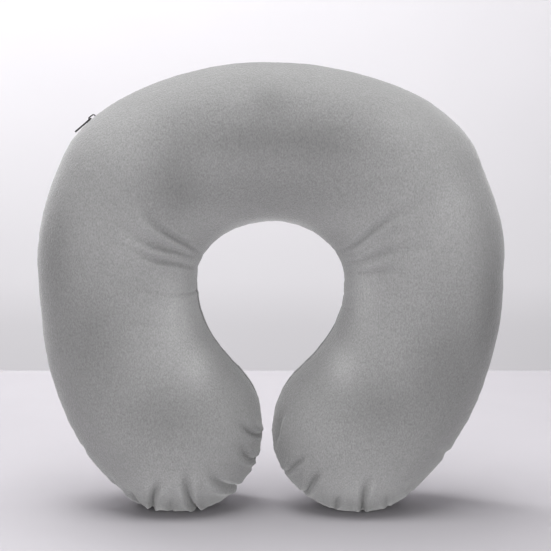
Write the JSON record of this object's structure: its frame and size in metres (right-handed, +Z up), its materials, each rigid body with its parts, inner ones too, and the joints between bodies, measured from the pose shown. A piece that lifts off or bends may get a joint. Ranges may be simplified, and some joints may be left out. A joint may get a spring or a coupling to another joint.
{
  "type": "u shaped neck pillow",
  "caption": "U-shaped travel neck pillow: fibre-filled liner in a plush cover that closes with a coil zip along the outer edge.",
  "frame": {"origin": "middle of the pillow's footprint, on the plane its two tips stand on", "axes": "+X across the shoulders, +Y towards the back face, +Z up from the tips to the top of the back; the front faces -Y"},
  "size_m": [0.3, 0.102, 0.2883],
  "materials": {
    "grey_plush": "short plush",
    "white_nonwoven": "matt",
    "white_fibre": "matt",
    "grey_thread": "matt",
    "white_thread": "matt",
    "grey_tape": "woven",
    "grey_nylon": "satin",
    "dark_metal": "satin"
  },
  "bodies": {
    "pillow": {"cover_front_panel": "grey_plush", "cover_back_panel": "grey_plush", "liner_front_panel": "white_nonwoven", "liner_back_panel": "white_nonwoven", "fibre_fill": "white_fibre", "cover_seam_thread": "grey_thread", "liner_seam_thread": "white_thread", "zip_tape_front": "grey_tape", "zip_tape_back": "grey_tape", "zip_coil_front": "grey_nylon", "zip_coil_back": "grey_nylon", "zip_top_stop_front": "dark_metal", "zip_top_stop_back": "dark_metal", "zip_bottom_stop": "dark_metal", "zip_stitch_front": "grey_thread", "zip_stitch_back": "grey_thread"},
    "slider": {"zip_slider_body": "dark_metal"},
    "pull": {"zip_pull_tab": "dark_metal"}
  },
  "joints": [
    {"name": "slider_travel", "type": "hinge", "parent": "pillow", "child": "slider", "pos_m": [0, 0, 0.0922], "axis": [0, 1, 0], "range_deg": [0, 71]},
    {"name": "pull_swing", "type": "hinge", "parent": "slider", "child": "pull", "pos_m": [-0.11531, 0, 0.25183], "axis": [0, 1, 0], "range_deg": [0, 170]}
  ]
}
